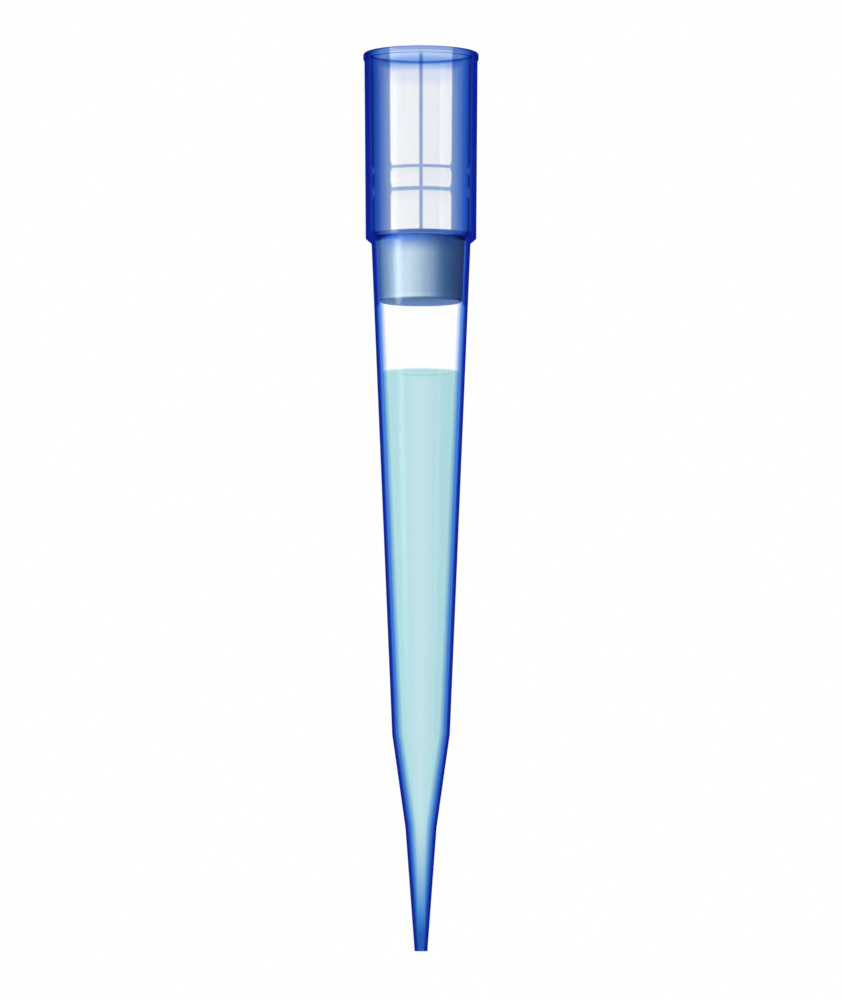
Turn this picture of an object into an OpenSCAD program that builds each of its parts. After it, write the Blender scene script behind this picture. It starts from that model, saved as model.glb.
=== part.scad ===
// Filtered pipette tip for samples up to 1 mL, held upright with its point down.
// A thin tapered tube with a wide collar, a filter plug pressed in under the collar's socket,
// and a drawn-up sample that an air gap keeps off the filter.
// Z = 0 is the middle of the upper sealing ring, which grips the pipette's nozzle.
// Depths are measured down from the mouth.

/* [Overall] */
// Length from the mouth to the point
tip_length = 80; // [66:1:98]

/* [Socket] */
// Diameter that the two sealing rings grip on the nozzle
seal_d = 8.4; // [6.8:0.1:10.4]
// Depth of the upper sealing ring's middle
seal_depth = 10.6; // [6:0.1:12]
// Distance between the middles of the two sealing rings
seal_pitch = 2; // [1.6:0.1:3]
// Height of the upper ring's straight land
upper_land = 0.3; // [0.2:0.05:0.4]
// Height of the lower ring's straight land
lower_land = 0.5; // [0.2:0.05:0.6]
// Height of each slope that leads onto a land
seal_slope = 0.35; // [0.2:0.05:0.45]
// How far the rings stand out of the socket's wall
seal_stand = 0.22; // [0.16:0.01:0.3]
// Draft of the socket's wall, in degrees
socket_draft = 0.7; // [0.2:0.1:1]
// Depth of the socket's floor, where the barrel's bore begins
socket_depth = 16.45; // [14.5:0.05:20]
// Bevel between the socket's wall and its floor
floor_bevel = 0.2; // [0.1:0.05:0.3]
// Bevel that guides the nozzle in at the mouth
lead_in = 0.2; // [0.1:0.05:0.3]

/* [Guide ribs] */
// Number of thin ribs along the socket's wall
rib_count = 9; // [4:1:16]
// Width of a rib
rib_w = 0.25; // [0.15:0.05:0.5]
// How far a rib stands out of the socket's wall, less than the rings do
rib_stand = 0.12; // [0.06:0.01:0.15]
// Depth where the ribs begin
rib_start = 0.9; // [0.5:0.1:3]
// Height over which a rib rises to its full stand
rib_rise = 0.8; // [0.4:0.1:2]

/* [Collar] */
// Wall of the collar at the upper sealing ring
collar_wall = 0.56; // [0.45:0.01:0.9]
// Draft of the collar's outside, in degrees
collar_draft = 0.45; // [0:0.05:0.8]
// How far the collar's straight outside runs on below the socket's floor
collar_skirt = 0.2; // [0:0.05:1.5]
// Width of the sloped step from the collar to the barrel
shoulder_w = 0.52; // [0.3:0.01:0.7]
// Height of that step
shoulder_h = 0.45; // [0.3:0.05:0.8]
// Height of the lip round the mouth
lip_h = 0.6; // [0.5:0.05:1.2]
// How far the lip stands out of the collar
lip_stand = 0.1; // [0.06:0.01:0.3]
// Radius of the lip's rounded edges
lip_round = 0.2; // [0.1:0.05:0.25]

/* [Barrel] */
// Wall at the top of the barrel
barrel_wall = 0.48; // [0.35:0.01:0.6]
// Outer diameter at the knee, where the barrel begins to narrow faster
knee_d = 5.12; // [4.2:0.02:6]
// Wall at the knee
knee_wall = 0.42; // [0.3:0.01:0.6]
// Height of the fast taper below the knee
taper_h = 8.3; // [6:0.1:12]
// Outer diameter where the slender point begins
point_top_d = 2.76; // [2.2:0.02:3.4]
// Wall where the slender point begins
point_top_wall = 0.39; // [0.3:0.01:0.5]
// Height of the slender point
point_h = 10.9; // [8:0.1:13]
// Outer diameter at the end of the point
point_d = 1.14; // [1:0.02:1.4]
// Diameter of the opening at the end of the point
orifice_d = 0.7; // [0.4:0.02:0.8]

/* [Filter plug] */
// Height of the plug
filter_h = 5.8; // [3:0.1:8]
// How far the plug sits below the socket's floor
filter_drop = 0.1; // [0.05:0.05:1]
// Bevel round the plug's two ends
filter_bevel = 0.12; // [0.05:0.01:0.3]
// Radial clearance left in the model between the plug and the bore
filter_clear = 0.01; // [0.005:0.005:0.05]

/* [Sample] */
// Height of the air gap between the plug and the sample
air_gap = 6.3; // [4:0.1:12]
// How far the sample's surface climbs the wall
meniscus_rise = 0.2; // [0.05:0.05:0.4]
// Width of that climb
meniscus_w = 0.6; // [0.3:0.1:1]
// Radial clearance left in the model between the sample and the bore
sample_clear = 0.01; // [0.005:0.005:0.05]
// How far the sample ends above the opening
sample_lift = 0.15; // [0:0.05:0.5]

/* [Hidden] */
$fn = 120;

past = 1;                // how far a cut runs past the face that it opens
rib_root = 0.1;          // how far a rib reaches into the wall that carries it
meniscus_steps = 6;      // straight lengths along the meniscus
polypropylene = [0.16, 0.32, 0.80, 0.45];
porous_plastic = [0.62, 0.73, 0.84];
sample_tint = [0.69, 0.88, 0.89, 0.8];

collar_h = socket_depth + collar_skirt;
shoulder_end = collar_h + shoulder_h;
knee_depth = tip_length - point_h - taper_h;
point_depth = tip_length - point_h;
barrel_r = collar_r(collar_h) - shoulder_w;
lip_r = collar_r(lip_h) + lip_stand;
filter_top = socket_depth + filter_drop;
filter_end = filter_top + filter_h;
sample_top = filter_end + air_gap;
sample_end = tip_length - sample_lift;

// The bore's outline below the socket: a depth and a radius at each change of taper.
bore_line = [
    [socket_depth, barrel_r - barrel_wall],
    [knee_depth, knee_d / 2 - knee_wall],
    [point_depth, point_top_d / 2 - point_top_wall],
    [tip_length, orifice_d / 2]
];

// A point of a turned section, from its radius and its depth below the mouth.
function at(r, depth) = [r, seal_depth - depth];

// Radius of the socket's wall and of the collar's outside at a depth.
function socket_r(depth) = seal_d / 2 + seal_stand + (seal_depth - depth) * tan(socket_draft);
function collar_r(depth) =
    seal_d / 2 + seal_stand + collar_wall + (seal_depth - depth) * tan(collar_draft);

// Radius of the bore at a depth, read from its outline.
function bore_r(depth) = lookup(depth, bore_line);

// Four points of one sealing ring: onto its upper slope, down its land and off its lower slope.
function ring(middle, land) =
    let (half = land / 2, reach = half + seal_slope)
        [
            at(socket_r(middle - reach), middle - reach),
            at(seal_d / 2, middle - half),
            at(seal_d / 2, middle + half),
            at(socket_r(middle + reach), middle + reach)
        ];

// The outside of the moulding, closed along the axis.
module outer_section() {
    polygon([
        at(0, 0),
        at(lip_r - lip_round, 0),
        at(lip_r - lip_round, lip_h / 2),
        at(collar_r(lip_h / 2), lip_h / 2),
        at(collar_r(collar_h), collar_h),
        at(barrel_r, shoulder_end),
        at(knee_d / 2, knee_depth),
        at(point_top_d / 2, point_depth),
        at(point_d / 2, tip_length),
        at(0, tip_length)
    ]);
    lip_section();
}

// The lip's bead: two rounded edges with a straight stretch between them.
module lip_section() {
    for (depth = [lip_round, lip_h - lip_round])
        translate(at(lip_r - lip_round, depth)) circle(r = lip_round);
    translate(at(lip_r - 2 * lip_round, lip_h - lip_round))
        square([2 * lip_round, lip_h - 2 * lip_round]);
}

// The hollow: mouth, socket with its two sealing rings, and the bore down to the opening.
module inner_section() {
    polygon(concat(
        [
            at(0, -past),
            at(socket_r(0) + lead_in, -past),
            at(socket_r(0) + lead_in, 0),
            at(socket_r(lead_in), lead_in)
        ],
        ring(seal_depth, upper_land),
        ring(seal_depth + seal_pitch, lower_land),
        [
            at(socket_r(socket_depth - floor_bevel), socket_depth - floor_bevel),
            at(socket_r(socket_depth) - floor_bevel, socket_depth)
        ],
        [for (bend = bore_line) at(bend[1], bend[0])],
        [
            at(orifice_d / 2, tip_length + past),
            at(0, tip_length + past)
        ]
    ));
}

// One guide rib, along +X, which follows the draft of the socket's wall.
module guide_rib() {
    rotate([90, 0, 0])
        linear_extrude(rib_w, center = true)
            polygon([
                at(socket_r(rib_start) + rib_root, rib_start),
                at(socket_r(rib_start), rib_start),
                at(socket_r(rib_start + rib_rise) - rib_stand, rib_start + rib_rise),
                at(socket_r(socket_depth) - rib_stand, socket_depth),
                at(socket_r(socket_depth) + rib_root, socket_depth)
            ]);
}

// The moulded tip: lip, collar, socket, barrel and point in one piece.
module tip_body() {
    color(polypropylene) {
        difference() {
            rotate_extrude() outer_section();
            rotate_extrude() inner_section();
        }
        for (i = [0 : rib_count - 1])
            rotate([0, 0, -90 + i * 360 / rib_count]) guide_rib();
    }
}

// The porous plug, a frustum that fills the bore below the socket's floor.
module filter_plug() {
    color(porous_plastic)
        rotate_extrude()
            polygon([
                at(0, filter_top),
                at(bore_r(filter_top) - filter_clear - filter_bevel, filter_top),
                at(bore_r(filter_top + filter_bevel) - filter_clear, filter_top + filter_bevel),
                at(bore_r(filter_end - filter_bevel) - filter_clear, filter_end - filter_bevel),
                at(bore_r(filter_end) - filter_clear - filter_bevel, filter_end),
                at(0, filter_end)
            ]);
}

// The sample, which fills the bore from under the air gap nearly to the opening.
module liquid_sample() {
    wet_r = bore_r(sample_top) - sample_clear;
    color(sample_tint)
        rotate_extrude()
            polygon(concat(
                [at(0, sample_top)],
                [
                    for (i = [0 : meniscus_steps])
                        let (t = i / meniscus_steps)
                            at(wet_r - meniscus_w * (1 - t), sample_top - meniscus_rise * t * t)
                ],
                [
                    for (bend = bore_line)
                        if (bend[0] > sample_top && bend[0] < sample_end)
                            at(bend[1] - sample_clear, bend[0])
                ],
                [
                    at(bore_r(sample_end) - sample_clear, sample_end),
                    at(0, sample_end)
                ]
            ));
}

tip_body();
filter_plug();
liquid_sample();
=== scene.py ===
"""A filtered pipette tip with a drawn-up sample, upright with its point down, in a white studio.

Everything is in metres in the part's own frame: Z up, the tip's axis on Z, Z = 0 at the upper
sealing ring. Lengths named in millimetres are multiplied by MM, and depths are measured down
from the mouth.
"""

import math

import bpy
import numpy as np
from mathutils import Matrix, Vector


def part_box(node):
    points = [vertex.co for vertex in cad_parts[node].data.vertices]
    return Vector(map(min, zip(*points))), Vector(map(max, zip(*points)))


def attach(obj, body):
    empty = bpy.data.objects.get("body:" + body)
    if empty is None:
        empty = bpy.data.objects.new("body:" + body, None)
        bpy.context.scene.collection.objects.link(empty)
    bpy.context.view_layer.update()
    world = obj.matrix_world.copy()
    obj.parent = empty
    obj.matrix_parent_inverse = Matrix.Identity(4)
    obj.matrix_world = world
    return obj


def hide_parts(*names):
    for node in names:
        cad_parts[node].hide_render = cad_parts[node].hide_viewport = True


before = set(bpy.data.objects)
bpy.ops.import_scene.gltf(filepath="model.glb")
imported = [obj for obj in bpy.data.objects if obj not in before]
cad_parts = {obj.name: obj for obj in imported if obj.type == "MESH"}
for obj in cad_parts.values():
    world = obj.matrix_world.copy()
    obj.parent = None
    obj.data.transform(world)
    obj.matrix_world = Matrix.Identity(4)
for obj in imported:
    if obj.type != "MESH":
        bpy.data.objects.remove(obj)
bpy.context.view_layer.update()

# ---------------------------------------------------------------- sizes

MM = 0.001

body_low, body_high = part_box("tip_body")
plug_low, plug_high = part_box("filter_plug")
sample_low, sample_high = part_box("liquid_sample")

MOUTH_Z = body_high.z
LENGTH = body_high.z - body_low.z
LIP_R = body_high.x
PLUG_TOP = MOUTH_Z - plug_high.z
PLUG_END = MOUTH_Z - plug_low.z
SAMPLE_TOP = MOUTH_Z - sample_high.z
SAMPLE_END = MOUTH_Z - sample_low.z

SEAL_DEPTH = MOUTH_Z
SEAL_R = 4.2 * MM
SEAL_PITCH = 2.0 * MM
SEAL_LANDS = (0.3 * MM, 0.5 * MM)
SEAL_SLOPE = 0.35 * MM
SEAL_STAND = 0.22 * MM
SOCKET_SLOPE = math.tan(math.radians(0.7))
COLLAR_SLOPE = math.tan(math.radians(0.45))
COLLAR_WALL = 0.56 * MM
FILTER_DROP = 0.1 * MM
SOCKET_DEPTH = PLUG_TOP - FILTER_DROP
COLLAR_SKIRT = 0.2 * MM
COLLAR_H = SOCKET_DEPTH + COLLAR_SKIRT
SHOULDER_W = 0.52 * MM
SHOULDER_H = 0.45 * MM
LIP_H = 0.6 * MM
LIP_ROUND = 0.2 * MM
LEAD_IN = 0.2 * MM
FLOOR_BEVEL = 0.2 * MM

RING_DEPTHS = (SEAL_DEPTH, SEAL_DEPTH + SEAL_PITCH)

RIBS = 9
RIB_W = 0.3 * MM
RIB_STAND = 0.12 * MM
RIB_START = 0.9 * MM
RIB_RISE = 0.8 * MM
PANEL_START = 0.3 * RIB_START
PANEL_FLATNESS = 0.3

BARREL_WALL = 0.48 * MM
POINT_H = 10.9 * MM
TAPER_H = 8.3 * MM
KNEE_R, KNEE_WALL = 2.56 * MM, 0.42 * MM
NECK_R, NECK_WALL = 1.38 * MM, 0.39 * MM
END_R, ORIFICE_R = 0.57 * MM, 0.35 * MM
KNEE_DEPTH = LENGTH - POINT_H - TAPER_H
NECK_DEPTH = LENGTH - POINT_H

SMALL_GAP = 0.01 * MM
PLUG_BEVEL = 0.14 * MM
MENISCUS_RISE = 0.2 * MM
MENISCUS_W = 0.6 * MM

TOUCH = 0.0001 * MM
COLUMNS = 192


def socket_r(depth):
    """Radius of the socket's wall: the seal's radius plus the ring's stand, with the draft."""
    return SEAL_R + SEAL_STAND + (SEAL_DEPTH - depth) * SOCKET_SLOPE


def collar_r(depth):
    """Radius of the collar's outside: the socket's wall radius at the seal plus the wall."""
    return SEAL_R + SEAL_STAND + COLLAR_WALL + (SEAL_DEPTH - depth) * COLLAR_SLOPE


BARREL_R = collar_r(COLLAR_H) - SHOULDER_W
SHOULDER_END = COLLAR_H + SHOULDER_H
BORE_DEPTHS = np.array([SOCKET_DEPTH, KNEE_DEPTH, NECK_DEPTH, LENGTH])
BORE_RADII = np.array(
    [BARREL_R - BARREL_WALL, KNEE_R - KNEE_WALL, NECK_R - NECK_WALL, ORIFICE_R]
)


def bore_r(depth):
    """Radius of the bore below the socket: straight between its changes of taper."""
    return np.interp(depth, BORE_DEPTHS, BORE_RADII)


# ---------------------------------------------------------------- outlines

STRAIGHT = 1e-6
GUARD = 0.03 * MM
ARC_POINTS, PLUG_ARC_POINTS = 7, 5


def rounded(corners, radii, arc_points=ARC_POINTS):
    """A polyline with its corners rounded.

    Each corner becomes an arc of the given radius, tangent to both sides: it starts and ends
    radius * tan(half the turn) from the corner, and its points lie on a circle about the point
    where the two inner normals meet. A radius of 0 keeps the corner.
    """
    corners = np.array(corners, float)
    out = [corners[:1]]
    for before, corner, after, radius in zip(corners, corners[1:], corners[2:], radii[1:]):
        into = (corner - before) / np.linalg.norm(corner - before)
        away = (after - corner) / np.linalg.norm(after - corner)
        turn = math.atan2(into[0] * away[1] - into[1] * away[0], float(into @ away))
        if radius == 0 or abs(turn) < STRAIGHT:
            out.append(corner[None])
            continue
        reach = radius * math.tan(abs(turn) / 2)
        side = math.copysign(1, turn)
        centre = corner - into * reach + side * radius * np.array([-into[1], into[0]])
        start = corner - into * reach - centre
        a = np.linspace(0, turn, arc_points)[:, None]
        out.append(centre + np.hstack([
            start[0] * np.cos(a) - start[1] * np.sin(a),
            start[0] * np.sin(a) + start[1] * np.cos(a),
        ]))
    out.append(corners[-1:])
    return np.vstack(out)


def filled(points, longest):
    """A polyline with extra points on its long stretches: one a GUARD away from each end, so
    that smooth shading stays inside the bend, and the rest evenly, no more than longest apart."""
    out = []
    for start, end in zip(points, points[1:]):
        span = float(np.linalg.norm(end - start))
        at = np.array([0.0])
        if span > 4 * GUARD:
            inner = np.linspace(GUARD, span - GUARD, max(2, math.ceil(span / longest) + 1))
            at = np.concatenate([[0.0], inner])
        out.append(start + (end - start) * (at / max(span, TOUCH))[:, None])
    out.append(points[-1:])
    return np.vstack(out)


# ---------------------------------------------------------------- meshes


def mesh_object(name, points, faces, materials, face_material=None):
    """A smooth-shaded mesh object at the origin from whole arrays of points and faces."""
    mesh = bpy.data.meshes.new(name)
    mesh.from_pydata(points.tolist(), [], faces)
    for material in materials:
        mesh.materials.append(material)
    if face_material is not None:
        mesh.polygons.foreach_set("material_index", np.asarray(face_material, np.int32))
    mesh.polygons.foreach_set("use_smooth", np.ones(len(mesh.polygons), bool))
    mesh.update()
    piece = bpy.data.objects.new(name, mesh)
    bpy.context.scene.collection.objects.link(piece)
    return piece


def polar_points(radius, z, angles):
    """Points (r cos a, r sin a, z) for a grid of radii, one row a height and one column an angle."""
    z = np.broadcast_to(z[:, None], radius.shape)
    return np.dstack([radius * np.cos(angles), radius * np.sin(angles), z]).reshape(-1, 3)


def grid_faces(rows, columns, loop):
    """Quads between neighbouring rows, closed round the axis, and from the last row to the
    first too where the outline is a loop. Rows run so that the faces point outwards."""
    first = np.arange(rows if loop else rows - 1)
    low = first[:, None] * columns
    high = ((first + 1) % rows)[:, None] * columns
    here = np.arange(columns)[None]
    there = (here + 1) % columns
    return np.stack([low + here, high + here, high + there, low + there], -1).reshape(-1, 4)


def turned_solid(name, outline, columns, materials):
    """A closed turned solid. The outline runs from the axis at the top, down the outside, to
    the axis at the bottom; its two ends become single points with a fan of triangles each."""
    ring = outline[1:-1]
    angles = np.linspace(0, 2 * math.pi, columns, endpoint=False)
    radius = np.repeat(ring[:, :1], columns, 1)
    points = polar_points(radius, MOUTH_Z - ring[:, 1], angles)
    poles = np.array([[0, 0, MOUTH_Z - outline[0, 1]], [0, 0, MOUTH_Z - outline[-1, 1]]])
    top, bottom = len(points), len(points) + 1
    here = np.arange(columns)
    there = (here + 1) % columns
    last = (len(ring) - 1) * columns
    quads = grid_faces(len(ring), columns, loop=False)
    cap = np.stack([np.full(columns, top), here, there], -1)
    foot = np.stack([np.full(columns, bottom), last + there, last + here], -1)
    faces = quads.tolist() + cap.tolist() + foot.tolist()
    return mesh_object(name, np.vstack([points, poles]), faces, materials)


RIB_COLUMNS, PANEL_COLUMNS = 15, 16
CLOSE_W = 1.24 * RIB_W


def sector_angles():
    """Angles round the socket, closely spaced over CLOSE_W at each rib and evenly between the
    ribs. The first rib faces -Y."""
    pitch = 2 * math.pi / RIBS
    half = CLOSE_W / 2 / socket_r(0)
    across = np.linspace(-half, half, RIB_COLUMNS)
    between = np.linspace(half, pitch - half, PANEL_COLUMNS)[1:-1]
    sector = np.concatenate([across, between])
    starts = -math.pi / 2 + pitch * np.arange(RIBS)
    return (starts[:, None] + sector[None]).ravel()


def socket_radius(depth, outline_r, angles):
    """Radius of the inside at each depth and angle.

    In the socket the wall is a little flattened between the ribs: on each panel the radius
    falls from r at the ribs towards the chord's r cos(half pitch) / cos(angle off the panel's
    middle), by the share PANEL_FLATNESS. Each rib takes a raised cosine across its width off
    that. Both come in with depth, the flattening from PANEL_START as 3 t t - 2 t t t and the
    rib from RIB_START in a straight slope, over RIB_RISE. Whatever stands further in, wall, rib
    or sealing ring, is kept. Above LEAD_IN it is the outline's own bevel.
    """
    pitch = 2 * math.pi / RIBS
    off_rib = (angles + math.pi / 2 + pitch / 2) % pitch - pitch / 2
    off_middle = np.abs(off_rib) - pitch / 2
    chord = math.cos(pitch / 2) / np.cos(off_middle)
    flat = 1 - PANEL_FLATNESS * (1 - chord)
    wall = np.where(depth < LEAD_IN, outline_r, socket_r(depth))[:, None]
    t = np.clip((depth - PANEL_START) / RIB_RISE, 0, 1)[:, None]
    flat = 1 + (flat[None] - 1) * t * t * (3 - 2 * t)
    across = np.clip(np.abs(off_rib) * socket_r(0) / (RIB_W / 2), 0, 1)[None]
    rise = np.clip((depth - RIB_START) / RIB_RISE, 0, 1)[:, None]
    rib = RIB_STAND * rise * (0.5 + 0.5 * np.cos(math.pi * across))
    inside = (depth <= SOCKET_DEPTH - FLOOR_BEVEL + TOUCH)[:, None]
    shaped = np.minimum(outline_r[:, None] * flat, wall * flat - rib)
    return np.where(inside, shaped, outline_r[:, None])


LONGEST = 0.9 * MM
LIP_FOOT_ROUND, LIP_FILLET = 0.12 * MM, 0.08 * MM
COLLAR_ROUND, BARREL_FILLET = 0.15 * MM, 0.12 * MM
KNEE_ROUND, NECK_ROUND = 2 * MM, 6 * MM
END_ROUND, ORIFICE_ROUND = 0.06 * MM, 0.04 * MM
SOFT = 0.05 * MM


def ring_outline(middle, land):
    """One sealing ring as (radius, depth, rounding) corners, from its upper slope over the
    straight land to its lower slope."""
    half = land / 2
    reach = half + SEAL_SLOPE
    return [
        (socket_r(middle - reach), middle - reach, SOFT),
        (SEAL_R, middle - half, SOFT),
        (SEAL_R, middle + half, SOFT),
        (socket_r(middle + reach), middle + reach, SOFT),
    ]


def tip_outline():
    """The moulding's outline as a closed loop of (radius, depth) points.

    It runs from the mouth down the outside to the point, and from the opening back up the
    inside to the mouth. Each corner is listed with its rounding.
    """
    outside = [
        (LIP_R, 0, LIP_ROUND),
        (LIP_R, LIP_H, LIP_FOOT_ROUND),
        (collar_r(LIP_H), LIP_H, LIP_FILLET),
        (collar_r(COLLAR_H), COLLAR_H, COLLAR_ROUND),
        (BARREL_R, SHOULDER_END, BARREL_FILLET),
        (KNEE_R, KNEE_DEPTH, KNEE_ROUND),
        (NECK_R, NECK_DEPTH, NECK_ROUND),
        (END_R, LENGTH, END_ROUND),
    ]
    inside = [
        (ORIFICE_R, LENGTH, ORIFICE_ROUND),
        (BORE_RADII[2], NECK_DEPTH, NECK_ROUND),
        (BORE_RADII[1], KNEE_DEPTH, KNEE_ROUND),
        (bore_r(PLUG_END), PLUG_END, 0),
        (BORE_RADII[0], SOCKET_DEPTH, SOFT),
        (socket_r(SOCKET_DEPTH) - FLOOR_BEVEL, SOCKET_DEPTH, SOFT),
        (socket_r(SOCKET_DEPTH - FLOOR_BEVEL), SOCKET_DEPTH - FLOOR_BEVEL, SOFT),
        *ring_outline(RING_DEPTHS[1], SEAL_LANDS[1])[::-1],
        *ring_outline(RING_DEPTHS[0], SEAL_LANDS[0])[::-1],
        (socket_r(LEAD_IN), LEAD_IN, SOFT),
        (socket_r(0) + LEAD_IN, 0, SOFT),
    ]
    rim = ((LIP_R + socket_r(0) + LEAD_IN) / 2, 0, 0)
    corners = np.array([rim, *outside, *inside, rim])
    return rounded(corners[:, :2], corners[:, 2])[:-1]


def turned_tip(name, materials):
    """The moulding: its closed outline carried round the axis, with the socket's own radius
    where the outline runs inside. Materials: outside, socket, against the plug, bore."""
    loop = tip_outline()
    closed = filled(np.vstack([loop, loop[:1]]), LONGEST)[:-1]
    angles = sector_angles()
    end = int(np.argmax(closed[:, 1] > LENGTH - TOUCH))
    is_inside = np.arange(len(closed)) > end
    radius = np.repeat(closed[:, :1], len(angles), 1)
    radius[is_inside] = socket_radius(closed[is_inside, 1], closed[is_inside, 0], angles)
    points = polar_points(radius, MOUTH_Z - closed[:, 1], angles)
    faces = grid_faces(len(closed), len(angles), loop=True)
    depth = (closed[:, 1] + np.roll(closed[:, 1], -1)) / 2
    kind = np.select(
        [~is_inside, depth < SOCKET_DEPTH + FILTER_DROP, depth < PLUG_END], [0, 1, 2], 3
    )
    return mesh_object(name, points, faces.tolist(), materials, np.repeat(kind, len(angles)))


# ---------------------------------------------------------------- shader maths


def put(tree, socket, value):
    """A plain value, a Value or another node's output into a socket."""
    if isinstance(value, Value):
        tree.links.new(value.socket, socket)
    elif isinstance(value, bpy.types.NodeSocket):
        tree.links.new(value, socket)
    elif isinstance(value, tuple) and len(value) == 3 and len(socket.default_value) == 4:
        socket.default_value = (*value, 1)
    else:
        socket.default_value = value


def add_node(tree, kind, settings, sockets):
    """A node of this kind: its settings first, then its sockets, by name or by number."""
    node = tree.nodes.new("ShaderNode" + kind)
    for key, value in settings.items():
        if key == "stops":
            ramp = node.color_ramp
            while len(ramp.elements) < len(value):
                ramp.elements.new(0.5)
            for element, (place, colour) in zip(ramp.elements, value):
                element.position = place
                element.color = (*colour, 1)
        else:
            setattr(node, key, value)
    for key, value in sockets.items():
        put(tree, node.inputs[key], value)
    return node


class Value:
    """A number that changes over a surface: an output socket with arithmetic on it."""

    def __init__(self, tree, socket):
        self.tree = tree
        self.socket = socket

    def maths(self, operation, *values, clamp=False):
        """The output of a Math node on these values."""
        settings = {"operation": operation, "use_clamp": clamp}
        node = add_node(self.tree, "Math", settings, dict(enumerate(values)))
        return Value(self.tree, node.outputs[0])

    def __add__(self, other):
        return self.maths("ADD", self, other)

    __radd__ = __add__

    def __sub__(self, other):
        return self.maths("SUBTRACT", self, other)

    def __rsub__(self, other):
        return self.maths("SUBTRACT", other, self)

    def __mul__(self, other):
        return self.maths("MULTIPLY", self, other)

    __rmul__ = __mul__

    def __truediv__(self, other):
        return self.maths("DIVIDE", self, other)

    def __rtruediv__(self, other):
        return self.maths("DIVIDE", other, self)

    def __pow__(self, other):
        return self.maths("POWER", self, other)

    def __rpow__(self, other):
        return self.maths("POWER", other, self)

    def most(self, other):
        """The larger of two values."""
        return self.maths("MAXIMUM", self, other)

    def least(self, other):
        """The smaller of two values."""
        return self.maths("MINIMUM", self, other)

    def unsigned(self):
        """The value without its sign."""
        return self.maths("ABSOLUTE", self)

    def cosine(self):
        """The cosine of the value, an angle."""
        return self.maths("COSINE", self)

    def bearing(self, x):
        """The angle round the axis from +X, where the value is y."""
        return self.maths("ARCTAN2", self, x)

    def clamped(self):
        """The value held between 0 and 1."""
        return self.maths("ADD", self, 0.0, clamp=True)

    def ramp(self, low, high):
        """0 below low, 1 above high, and a straight rise between them. Low may be above high."""
        return ((self - low) / (high - low)).clamped()

    def step(self, low, high):
        """The same with a smooth rise."""
        settings = {"interpolation_type": "SMOOTHSTEP"}
        sockets = {"Value": self, "From Min": low, "From Max": high}
        return Value(self.tree, add_node(self.tree, "MapRange", settings, sockets).outputs[0])


class Paint:
    """The node tree of a new material or world, and short ways to add nodes to it."""

    def __init__(self, owner):
        self.owner = owner
        self.owner.use_nodes = True
        self.tree = self.owner.node_tree
        self.tree.nodes.clear()

    def node(self, kind, settings=None, **sockets):
        """A node, with its sockets by name and _ for a space."""
        named = {key.replace("_", " "): value for key, value in sockets.items()}
        return add_node(self.tree, kind, settings or {}, named)

    def value(self, socket):
        """An output socket as a value."""
        return Value(self.tree, socket)

    def place(self):
        """The piece's own coordinates as an output, and x, y and z as values."""
        position = self.node("TexCoord").outputs["Object"]
        split = self.node("SeparateXYZ", Vector=position)
        return position, *[self.value(s) for s in split.outputs]

    def off_square(self):
        """How far off square the surface is seen: the sine of the angle between the line of
        sight and the normal, which on an upright cylinder is the share of the radius. With
        facing as 1 - cosine, the sine is the root of facing * (2 - facing)."""
        facing = self.value(self.node("LayerWeight", Blend=0.5).outputs["Facing"])
        return (facing * (2 - facing)) ** 0.5

    def off_upright(self):
        """The same with every slope taken as upright: how far off square the line from the
        axis through this place is seen."""
        _, x, y, _ = self.place()
        outwards = self.node("CombineXYZ", X=x, Y=y, Z=0.0).outputs[0]
        unit = self.node("VectorMath", {"operation": "NORMALIZE"}, Vector=outwards).outputs[0]
        facing = self.value(self.node("LayerWeight", Blend=0.5, Normal=unit).outputs["Facing"])
        return (facing * (2 - facing)).clamped() ** 0.5

    def far_side(self):
        """1 where the surface is seen from behind, 0 from in front."""
        return self.value(self.node("NewGeometry").outputs["Backfacing"])

    def noise(self, vector, scale, detail=2.0, roughness=0.5):
        """Noise from 0 to 1, with as many cells to a unit of the vector as scale says."""
        sockets = {"Vector": vector, "Scale": scale, "Detail": detail, "Roughness": roughness}
        return self.value(self.node("TexNoise", **sockets).outputs[0])

    def bump(self, height, strength, distance):
        """A normal tilted by the slopes of a height."""
        node = self.node("Bump", Height=height, Strength=strength, Distance=distance)
        return node.outputs["Normal"]

    def blended(self, share, first, second):
        """A colour: first, with a share of second mixed in."""
        settings = {"data_type": "RGBA"}
        return add_node(self.tree, "Mix", settings, {0: share, 6: first, 7: second}).outputs[2]

    def clear(self, tint):
        """A shader that lets everything through, tinted."""
        return self.node("BsdfTransparent", Color=tint).outputs[0]

    def gloss(self, roughness, **sockets):
        """A plain white gloss."""
        return self.node("BsdfGlossy", Color=WHITE, Roughness=roughness, **sockets).outputs[0]

    def body(self, colour, roughness, **sockets):
        """An opaque surface."""
        node = self.node("BsdfPrincipled", Base_Color=colour, Roughness=roughness, **sockets)
        return node.outputs[0]

    def mix(self, share, first, second):
        """First, with a share of second: both are shaders."""
        return add_node(self.tree, "MixShader", {}, {0: share, 1: first, 2: second}).outputs[0]

    def finish(self, shader, kind="Material"):
        """The shader on the output of the material or world."""
        self.node("Output" + kind, Surface=shader)
        return self.owner


# ---------------------------------------------------------------- finishes

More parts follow.
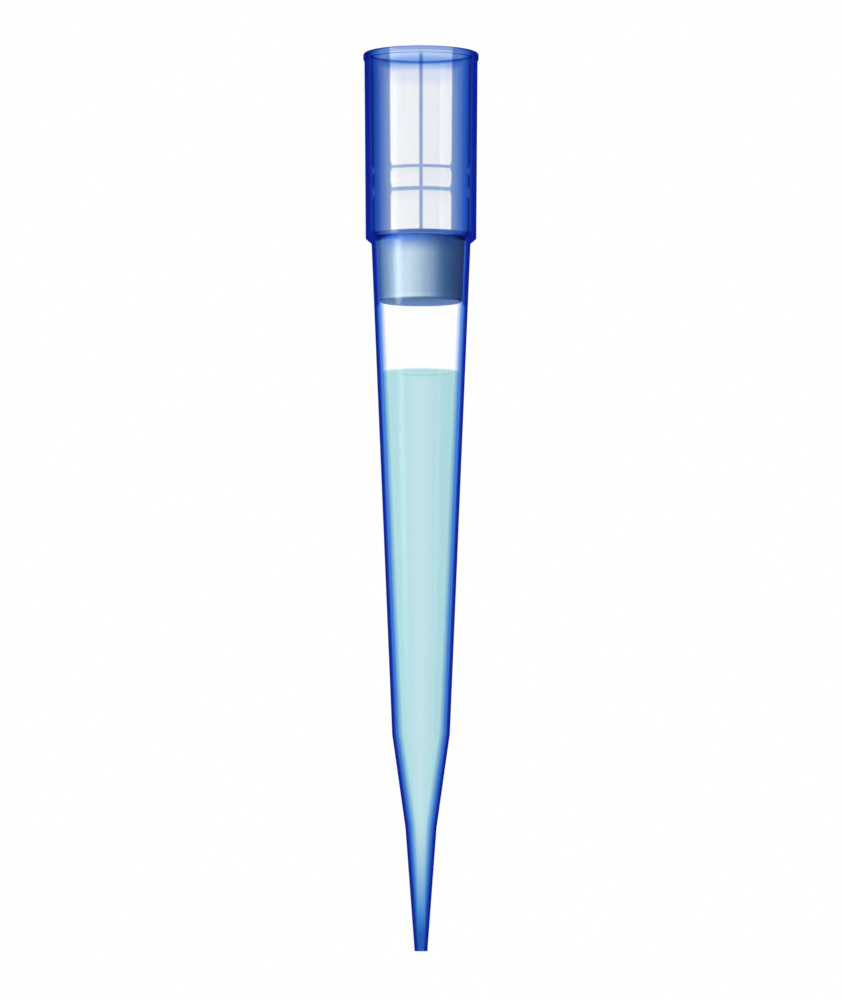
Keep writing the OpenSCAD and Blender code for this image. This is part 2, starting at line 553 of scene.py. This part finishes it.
WHITE = (1.0, 1.0, 1.0)
SKY = (0.13, 0.36, 0.85)
ROYAL = (0.03, 0.11, 0.55)
NAVY = (0.006, 0.022, 0.32)
MILKY = (0.97, 0.92, 0.82)
DENIM = (0.235, 0.36, 0.64)
RING_BLUE = (0.18, 0.34, 0.65)
LIP_BLUE = (0.05, 0.22, 0.62)
ROOT_BLUE = (0.02, 0.12, 0.44)
GRAZING_BLUE = (0.45, 0.42, 0.6)
SLATE = (0.33, 0.48, 0.62)
DEEP_SLATE = (0.13, 0.22, 0.40)
ROOT_SHADE = (0.12, 0.32, 0.75)

SKY_AT, ROYAL_AT = 0.5, 0.7
NAVY_FROM, NAVY_AT = 0.62, 0.84


def edge_blue(p, amount):
    """A clear shader that turns sky blue, royal blue and navy as amount goes from 0 to 1."""
    shader = p.mix(amount.ramp(0.0, SKY_AT), p.clear(WHITE), p.clear(SKY))
    shader = p.mix(amount.ramp(SKY_AT, ROYAL_AT), shader, p.clear(ROYAL))
    return p.mix(amount.ramp(NAVY_FROM, NAVY_AT), shader, p.clear(NAVY))


MARKS_SCALE, MARKS_STRETCH, MARKS_DETAIL = 2600.0, 0.12, 3.0
MARKS_SHARE = 0.5
PEEL_SCALE = 700.0
RELIEF_STRENGTH, RELIEF_DEPTH = 0.12, 0.02 * MM
POLISHED, MARKED = 0.07, 0.07


def plastic_relief(p, vector):
    """The faint draw marks and orange peel of a moulded surface, as a bump and a roughness."""
    along = p.node("Mapping", Vector=vector, Scale=(1.0, 1.0, MARKS_STRETCH)).outputs[0]
    marks = p.noise(along, MARKS_SCALE, MARKS_DETAIL)
    peel = p.noise(vector, PEEL_SCALE)
    normal = p.bump(marks * MARKS_SHARE + peel, RELIEF_STRENGTH, RELIEF_DEPTH)
    return normal, POLISHED + marks * MARKED


BARREL_BAND = 0.98 * MM
COLLAR_BAND = 2.23 * MM
FAR_WALL_TINT = 0.25
LIP_TINT, LIP_GLOW = 0.46, 0.29
LIP_TOP, LIP_FULL, LIP_FADE = 0.7 * MM, 1.3 * MM, 2.6 * MM
POINT_TINT, POINT_MOST, POINT_FALL = 0.8, 0.64, 1.7
POINT_REACH = 12.5 * MM
BARREL_MILK, COLLAR_MILK, MILK_FALL = 0.006, 0.076, 2.0
MILK_ROUGHNESS = 0.4
BARREL_SHINE, PLUG_SHINE = 0.0035, 0.014
BACKED_TINT, BACKED_ROUGHER = 0.13, 0.1
BACKED_FROM, BACKED_AT = 0.42, 0.56
BACKED_ABOVE = 0.5 * MM
BACKED_BELOW, BACKED_FADE = 0.2 * MM, 0.6 * MM


def outside_plastic():
    """The outside: clear seen square on, deep blue seen aslant, with a soft gloss.

    The blue reaches a fixed width in from the outline, wider on the thick collar, so the share
    of the radius where it starts is 1 - width / radius. It is blue under the lip as well, and
    towards the point, and the gloss is fuller where the plug backs the wall.
    """
    p = Paint(bpy.data.materials.new("tinted_polypropylene_outside"))
    vector, x, y, z = p.place()
    depth = MOUTH_Z - z
    on_collar = depth.step(SHOULDER_END, COLLAR_H)
    band = BARREL_BAND + on_collar * (COLLAR_BAND - BARREL_BAND)
    start = 1 - band / (x * x + y * y) ** 0.5
    near = 1 - p.far_side() * (1 - FAR_WALL_TINT)
    edge = ((p.off_square() - start) / (1 - start)).clamped()
    backed = depth.step(PLUG_TOP - BACKED_ABOVE, PLUG_TOP)
    backed = backed * depth.step(PLUG_END + BACKED_FADE, PLUG_END + BACKED_BELOW)
    edge = edge + backed * BACKED_TINT * edge.step(BACKED_FROM, BACKED_AT)
    under_lip = depth.step(LIP_FADE, LIP_FULL) * depth.step(LIP_TOP, LIP_FULL) * LIP_TINT
    at_lip = depth.step(LIP_FULL, LIP_TOP) * LIP_GLOW
    towards_point = (1 - (z - body_low.z) / POINT_REACH).clamped() ** POINT_FALL
    at_point = (towards_point * POINT_TINT).least(POINT_MOST)
    amount = edge.most(under_lip + at_lip).most(at_point) * near
    normal, roughness = plastic_relief(p, vector)
    milk = BARREL_MILK + on_collar * (COLLAR_MILK - BARREL_MILK)
    shader = edge_blue(p, amount)
    body = p.body(MILKY, MILK_ROUGHNESS, Normal=normal)
    shader = p.mix(milk * (1 - amount * MILK_FALL).clamped(), shader, body)
    shine = (BARREL_SHINE + backed * (PLUG_SHINE - BARREL_SHINE)) * (1 - amount).clamped()
    gloss = p.gloss(roughness + backed * BACKED_ROUGHER, Normal=normal)
    return p.finish(p.mix(shine * (1 - p.far_side()), shader, gloss))


SOCKET_FAR_TINT = 0.04
FLANK_FROM, FLANK_AT = 0.6, 0.655
CORE_W, LINE_W = 0.56 * RIB_W, 1.46 * RIB_W
RIB_CORE = math.cos(RIBS * CORE_W / 2 / socket_r(0))
RIB_EDGE = math.cos(RIBS * LINE_W / 2 / socket_r(0))
RIB_TINT, RING_TINT, RING_SHADE = 0.92, 0.95, 0.16
RING_LINES, RING_CORE = (0.2 * MM, 0.26 * MM), 0.3
RING_OVER_FLANK = 0.2
LINE_START = 0.3 * MM
SHADE_REACH, SHADE_START = 1.1 * MM, 0.1 * MM
ROOT_FADE, ROOT_FULL = 0.3 * MM, 0.15 * MM
MOUTH_FADE, MOUTH_FULL = 0.35 * MM, 0.25 * MM
GRAZING_FROM = 0.93
SOCKET_MILK = 0.08
MOUTH_TINT, MOUTH_SOFTER = 0.8, 0.35
INNER_SHINE, INNER_ROUGHNESS = 0.004, 0.12


def socket_plastic():
    """The socket's wall, with its rings and ribs: the same plastic, met from inside it."""
    p = Paint(bpy.data.materials.new("tinted_polypropylene_socket"))
    _, x, y, z = p.place()
    depth = MOUTH_Z - z
    slant = p.off_upright()
    near = SOCKET_FAR_TINT + p.far_side() * (1 - SOCKET_FAR_TINT)
    off_front = y.bearing(x) + math.pi / 2
    on_rib = (off_front * RIBS).cosine().step(RIB_EDGE, RIB_CORE)
    on_rib = on_rib * depth.step(LINE_START, RIB_START)
    denim = slant.step(FLANK_FROM, FLANK_AT).most(on_rib * RIB_TINT)
    on_ring = 0
    for middle, reach in zip(RING_DEPTHS, RING_LINES):
        below = depth - middle
        on_ring = below.unsigned().step(reach, reach * RING_CORE) + on_ring
        shade = below.step(SHADE_REACH, 0.0) * below.step(-SHADE_START, 0.0)
        denim = denim.most(shade * RING_SHADE)
    root = depth.step(SOCKET_DEPTH - ROOT_FADE, SOCKET_DEPTH - ROOT_FULL)
    mouth = depth.step(MOUTH_FADE, MOUTH_FULL)
    shader = p.mix(denim * near, p.clear(WHITE), p.clear(DENIM))
    ring_share = on_ring * (1 - denim * (1 - RING_OVER_FLANK)) * RING_TINT
    shader = p.mix(ring_share * near, shader, p.clear(RING_BLUE))
    shader = p.mix(mouth * (MOUTH_TINT - p.far_side() * MOUTH_SOFTER), shader, p.clear(LIP_BLUE))
    shader = p.mix(root * near, shader, p.clear(ROOT_BLUE))
    shader = p.mix(slant.step(GRAZING_FROM, 1.0) * near, shader, p.clear(GRAZING_BLUE))
    milk = SOCKET_MILK * (1 - denim.most(on_ring) * near - root).clamped()
    shader = p.mix(milk, shader, p.body(MILKY, MILK_ROUGHNESS))
    return p.finish(p.mix(INNER_SHINE * (1 - p.far_side()), shader, p.gloss(INNER_ROUGHNESS)))


CONTACT_FROM, CONTACT_AT = 0.25, 0.88
DEEP_FROM, DEEP_AT = 0.62, 0.98
ROOT_SHADE_H = 1.9 * MM
CONTACT_ROUGHNESS = 0.16


def plug_contact_plastic():
    """The bore's wall where the plug presses on it: greyer and darker seen aslant, partly the
    plastic's tint and partly a painted shade on the plug's flanks, and bluer just under the socket's
    floor, a painted shade under the collar."""
    p = Paint(bpy.data.materials.new("tinted_polypropylene_against_plug"))
    _, _, _, z = p.place()
    slant = p.off_square()
    near = p.far_side()
    # Painted shade: a bluer band just under the socket's floor, where the collar shades the plug.
    collar_shade_mask = (MOUTH_Z - z).step(PLUG_TOP + ROOT_SHADE_H, PLUG_TOP)
    # Seen aslant the wall turns slate, then deep slate: partly the plastic's tint, partly a painted
    # shade on the plug's flanks.
    shader = p.mix(slant.step(CONTACT_FROM, CONTACT_AT) * near, p.clear(WHITE), p.clear(SLATE))
    shader = p.mix(collar_shade_mask * near, shader, p.clear(ROOT_SHADE))
    shader = p.mix(slant.step(DEEP_FROM, DEEP_AT) * near, shader, p.clear(DEEP_SLATE))
    return p.finish(p.mix(INNER_SHINE * near, shader, p.gloss(CONTACT_ROUGHNESS)))


BORE_BLUE_FROM, BORE_BLUE_SPAN = 0.93, 0.4


def bore_plastic():
    """The bore's wall in the barrel: clear, with a trace of blue right at its edge."""
    p = Paint(bpy.data.materials.new("tinted_polypropylene_bore"))
    near = FAR_WALL_TINT + p.far_side() * (1 - FAR_WALL_TINT)
    amount = ((p.off_square() - BORE_BLUE_FROM) / BORE_BLUE_SPAN).clamped() * near
    shader = edge_blue(p, amount)
    return p.finish(p.mix(INNER_SHINE * (1 - p.far_side()), shader, p.gloss(INNER_ROUGHNESS)))


FILTER_TONES = [
    (0.2, (0.58, 0.68, 0.66)),
    (0.5, (0.735, 0.815, 0.765)),
    (0.8, (0.85, 0.90, 0.83)),
]
# Painted shade and painted light on the plug's underside: dark at the front, lighter at the back.
UNDER_PAINTED_SHADE, UNDER_PAINTED_LIGHT = (0.26, 0.40, 0.42), (1.0, 1.0, 0.87)
UNDER_SIDE_SHADE, UNDER_GRAIN = 0.4, 0.3
UNDER_FADE, UNDER_FULL = 0.2 * MM, 0.1 * MM
ROUND_SCALE, DOWN_SCALE, IN_SCALE = 4.0, 60.0, 300.0
STREAK_SCALE, STREAK_DETAIL, STREAK_ROUGHNESS = 4.0, 4.0, 0.6
GRAIN_SCALE, PORE_SCALE = 5200.0, 9000.0
STREAK_TONE, GRAIN_TONE = 0.5, 0.22
GRAIN_MIDDLE = 0.4
# Lift and heights of the painted highlight band just above the plug's bottom edge.
HIGHLIGHT_BAND_LIFT = 0.5
HIGHLIGHT_BAND_EDGES = (0.18 * MM, 0.3 * MM, 0.4 * MM, 0.55 * MM)
GRAIN_HEIGHT, PORE_HEIGHT = 0.8, 0.4
GRAIN_STRENGTH, GRAIN_DEPTH = 0.5, 0.04 * MM
FILTER_ROUGHNESS, GRAIN_ROUGHER = 0.62, 0.2


def sintered_filter():
    """Porous plastic: fused grains, with faint streaks down its side from being pushed into the
    bore, a painted highlight band just above the bottom edge, and a painted shade on the underside,
    dark and blue at the front and painted lighter towards the back.

    The streaks are noise over the unrolled side, fine round it and long down it. The painted light
    on the underside grows with y, and less so by the square of x."""
    p = Paint(bpy.data.materials.new("porous_filter_sintered"))
    vector, x, y, z = p.place()
    radius = (x * x + y * y) ** 0.5
    around = y.bearing(x) * ROUND_SCALE
    sockets = {"X": around, "Y": z * DOWN_SCALE, "Z": radius * IN_SCALE}
    unrolled = p.node("CombineXYZ", **sockets).outputs[0]
    streaks = p.noise(unrolled, STREAK_SCALE, STREAK_DETAIL, STREAK_ROUGHNESS)
    grain = p.node("TexVoronoi", {"feature": "F1"}, Vector=vector, Scale=GRAIN_SCALE)
    cells = p.value(grain.outputs["Distance"])
    pores = p.noise(vector, PORE_SCALE)
    tone = (streaks - 0.5) * STREAK_TONE + (cells - GRAIN_MIDDLE) * GRAIN_TONE + 0.5
    height = z - plug_low.z
    # Painted highlight: the tone is lifted in a thin band just above the bottom edge.
    low, low_full, high_full, high = HIGHLIGHT_BAND_EDGES
    painted_highlight_band = height.step(low, low_full) * height.step(high, high_full)
    lifted = tone + painted_highlight_band * HIGHLIGHT_BAND_LIFT
    colour = p.node("ValToRGB", {"stops": FILTER_TONES}, Fac=lifted).outputs[0]
    # Painted shade on the underside, lightened with y towards the back and less so towards the
    # sides.
    back = ((y / plug_high.x + 1) / 2).clamped()
    painted_light_share = back * (1 - (x / plug_high.x) ** 2 * UNDER_SIDE_SHADE) + (tone - 0.5) * UNDER_GRAIN
    painted_underside = p.blended(painted_light_share.clamped(), UNDER_PAINTED_SHADE, UNDER_PAINTED_LIGHT)
    colour = p.blended(height.step(UNDER_FADE, UNDER_FULL), colour, painted_underside)
    normal = p.bump(cells * GRAIN_HEIGHT + pores * PORE_HEIGHT, GRAIN_STRENGTH, GRAIN_DEPTH)
    return p.finish(p.body(colour, FILTER_ROUGHNESS + cells * GRAIN_ROUGHER, Normal=normal))


WATER, WATER_SIDES, WATER_BODY = (0.62, 0.825, 0.85), (0.52, 0.79, 0.815), (0.60, 0.83, 0.84)
WATER_FAR_TINT, WATER_CLOUD = 0.2, 0.06
SIDES_AT, TOP_FADE, WATER_ROUGHNESS = 0.72, 0.3 * MM, 0.15


def aqueous():
    """A pale turquoise sample, a little deeper towards its sides."""
    p = Paint(bpy.data.materials.new("aqueous_sample_turquoise"))
    _, _, _, z = p.place()
    below_top = z.step(sample_high.z, sample_high.z - TOP_FADE)
    near = (1 - p.far_side() * (1 - WATER_FAR_TINT)) * below_top
    sides = p.off_square().step(0.0, SIDES_AT) * near
    shader = p.mix(near, p.clear(WHITE), p.clear(WATER))
    shader = p.mix(sides, shader, p.clear(WATER_SIDES))
    return p.finish(p.mix(WATER_CLOUD * near, shader, p.body(WATER_BODY, WATER_ROUGHNESS)))


# ---------------------------------------------------------------- pieces

tip = turned_tip(
    "moulded_tip",
    [outside_plastic(), socket_plastic(), plug_contact_plastic(), bore_plastic()],
)
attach(tip, "root")
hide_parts("tip_body")


PLUG_ROUND = 0.06 * MM
PLUG_LONGEST = 0.4 * MM


def plug_outline():
    """The plug: flat ends, bevelled edges and a side that follows the bore."""
    corners = [
        (0, PLUG_TOP),
        (bore_r(PLUG_TOP) - SMALL_GAP - PLUG_BEVEL, PLUG_TOP),
        (bore_r(PLUG_TOP + PLUG_BEVEL) - SMALL_GAP, PLUG_TOP + PLUG_BEVEL),
        (bore_r(PLUG_END - PLUG_BEVEL) - SMALL_GAP, PLUG_END - PLUG_BEVEL),
        (bore_r(PLUG_END) - SMALL_GAP - PLUG_BEVEL, PLUG_END),
        (0, PLUG_END),
    ]
    radii = [0, *[PLUG_ROUND] * 4, 0]
    return filled(rounded(corners, radii, PLUG_ARC_POINTS), PLUG_LONGEST)


plug = turned_solid("sintered_plug", plug_outline(), COLUMNS, [sintered_filter()])
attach(plug, "root")
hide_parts("filter_plug")


CLIMB_ROWS = 16
BARREL_ROWS, TAPER_ROWS, POINT_ROWS = 40, 10, 12


def sample_outline():
    """The sample: a surface that climbs the wall by rise * (share of the climb's width)
    squared, a side that follows the bore, and a flat end just above the opening."""
    wet_r = bore_r(SAMPLE_TOP) - SMALL_GAP
    t = np.linspace(0, 1, CLIMB_ROWS)
    climb = np.stack([wet_r - MENISCUS_W * (1 - t), SAMPLE_TOP + MENISCUS_RISE * (1 - t * t)], -1)
    depths = np.concatenate([
        np.linspace(SAMPLE_TOP, KNEE_DEPTH, BARREL_ROWS)[1:],
        np.linspace(KNEE_DEPTH, NECK_DEPTH, TAPER_ROWS)[1:],
        np.linspace(NECK_DEPTH, SAMPLE_END, POINT_ROWS)[1:],
    ])
    side = np.stack([bore_r(depths) - SMALL_GAP, depths], -1)
    return np.vstack([[(0, SAMPLE_TOP + MENISCUS_RISE)], climb, side, [(0, SAMPLE_END)]])


sample = turned_solid("drawn_up_sample", sample_outline(), COLUMNS, [aqueous()])
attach(sample, "root")
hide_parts("liquid_sample")

# ---------------------------------------------------------------- studio

MIDDLE = (body_high + body_low) / 2
FLOOR_DROP = 8 * MM
FLOOR_Z = body_low.z - FLOOR_DROP
FLOOR_RINGS = np.array([0.02, 0.08, 0.3, 1.2])
FLOOR_SIDES = 96
PALE = (0.88, 0.80, 0.72)
FLOOR_BOUNCE = (0.10, 0.38, 0.98)
FLOOR_GLOW = 0.565
WHITE_FROM, WHITE_AT = 0.05, 0.16
AMBIENT = 0.14
COOL = (0.10, 0.5, 1.0)


def seen_rays(p):
    """1 for rays from the camera and for those that gloss and glass send on, which see white."""
    path = p.node("LightPath")
    seen = p.value(path.outputs["Is Camera Ray"])
    for name in ("Is Glossy Ray", "Is Transmission Ray"):
        seen = seen.most(p.value(path.outputs[name]))
    return seen


def white_floor():
    """A pale floor: seen, it is white where no shadow lies on it, and pure white further out.
    The light that it sends back to the pieces is cool."""
    p = Paint(bpy.data.materials.new("studio_floor"))
    seen = seen_rays(p)
    _, x, y, _ = p.place()
    far = ((x * x + y * y) ** 0.5).step(WHITE_FROM, WHITE_AT)
    pale = p.node("BsdfDiffuse", Color=PALE).outputs[0]
    bounce = p.node("BsdfDiffuse", Color=FLOOR_BOUNCE).outputs[0]
    glow = p.node("Emission", Color=WHITE, Strength=FLOOR_GLOW).outputs[0]
    lifted = add_node(p.tree, "AddShader", {}, {0: pale, 1: glow}).outputs[0]
    white = p.node("Emission", Color=WHITE, Strength=1.0).outputs[0]
    return p.finish(p.mix(far * seen, p.mix(seen, bounce, lifted), white))


def floor_disc():
    """A flat round floor under the point: rings of quads about a middle fan."""
    angles = np.linspace(0, 2 * math.pi, FLOOR_SIDES, endpoint=False)
    radius = np.repeat(FLOOR_RINGS[::-1, None], FLOOR_SIDES, 1)
    points = polar_points(radius, np.full(len(FLOOR_RINGS), FLOOR_Z), angles)
    points = np.vstack([points, [[0, 0, FLOOR_Z]]])
    quads = grid_faces(len(FLOOR_RINGS), FLOOR_SIDES, loop=False)[:, ::-1]
    inner = (len(FLOOR_RINGS) - 1) * FLOOR_SIDES
    here = inner + np.arange(FLOOR_SIDES)
    there = inner + (np.arange(FLOOR_SIDES) + 1) % FLOOR_SIDES
    fan = np.stack([np.full(FLOOR_SIDES, len(points) - 1), here, there], -1)
    return mesh_object("studio_floor", points, quads.tolist() + fan.tolist(), [white_floor()])


floor_disc()


def studio_world():
    """White where it is seen, and a dim cool even light for everything else."""
    p = Paint(bpy.data.worlds.new("studio_world"))
    seen = seen_rays(p)
    colour = p.blended(seen, COOL, WHITE)
    strength = AMBIENT + seen * (1 - AMBIENT)
    return p.finish(p.node("Background", Color=colour, Strength=strength).outputs[0], "World")


bpy.context.scene.world = studio_world()


def softbox(name, azimuth, height, distance, size, radiance, colour=WHITE):
    """A rectangular lamp aimed at the tip. Its power gives the named radiance: a lamp of area
    A and radiance L sends out pi * A * L. Azimuth is measured from the camera's side, positive
    to its right."""
    lamp = bpy.data.lights.new(name, "AREA")
    lamp.shape = "RECTANGLE"
    lamp.size, lamp.size_y = size
    lamp.energy = math.pi * size[0] * size[1] * radiance
    lamp.color = colour
    place = bpy.data.objects.new(name, lamp)
    bpy.context.scene.collection.objects.link(place)
    a = math.radians(azimuth)
    place.location = (distance * math.sin(a), -distance * math.cos(a), MIDDLE.z + height)
    aim = MIDDLE - place.location
    place.rotation_euler = aim.to_track_quat("-Z", "Y").to_euler()


softbox(
    "key_strip", azimuth=-57.5, height=0.05, distance=1.0, size=(0.24, 1.3), radiance=19.6
)
softbox(
    "overhead_panel", azimuth=0.0, height=1.0, distance=0.01, size=(0.12, 0.12), radiance=34.0,
    colour=(0.94, 0.97, 1.0),
)
softbox(
    "back_panel", azimuth=152.0, height=0.3, distance=1.0, size=(0.5, 1.0), radiance=2.6,
    colour=(0.7, 0.85, 1.0),
)

# ---------------------------------------------------------------- camera

EYE_DEPTH = 0.95 * LENGTH
EYE_DISTANCE = 6.6 * LENGTH
FILL = 0.9
WIDTH, HEIGHT = 842, 1000

lens = bpy.data.cameras.new("camera")
camera = bpy.data.objects.new("camera", lens)
bpy.context.scene.collection.objects.link(camera)
camera.location = (0, -EYE_DISTANCE, MOUTH_Z - EYE_DEPTH)
aim = MIDDLE - camera.location
camera.rotation_euler = aim.to_track_quat("-Z", "Y").to_euler()
frame_height = LENGTH / FILL
lens.lens = lens.sensor_width * aim.length / frame_height * max(WIDTH, HEIGHT) / HEIGHT
bpy.context.scene.camera = camera
bpy.context.scene.view_settings.view_transform = "Standard"
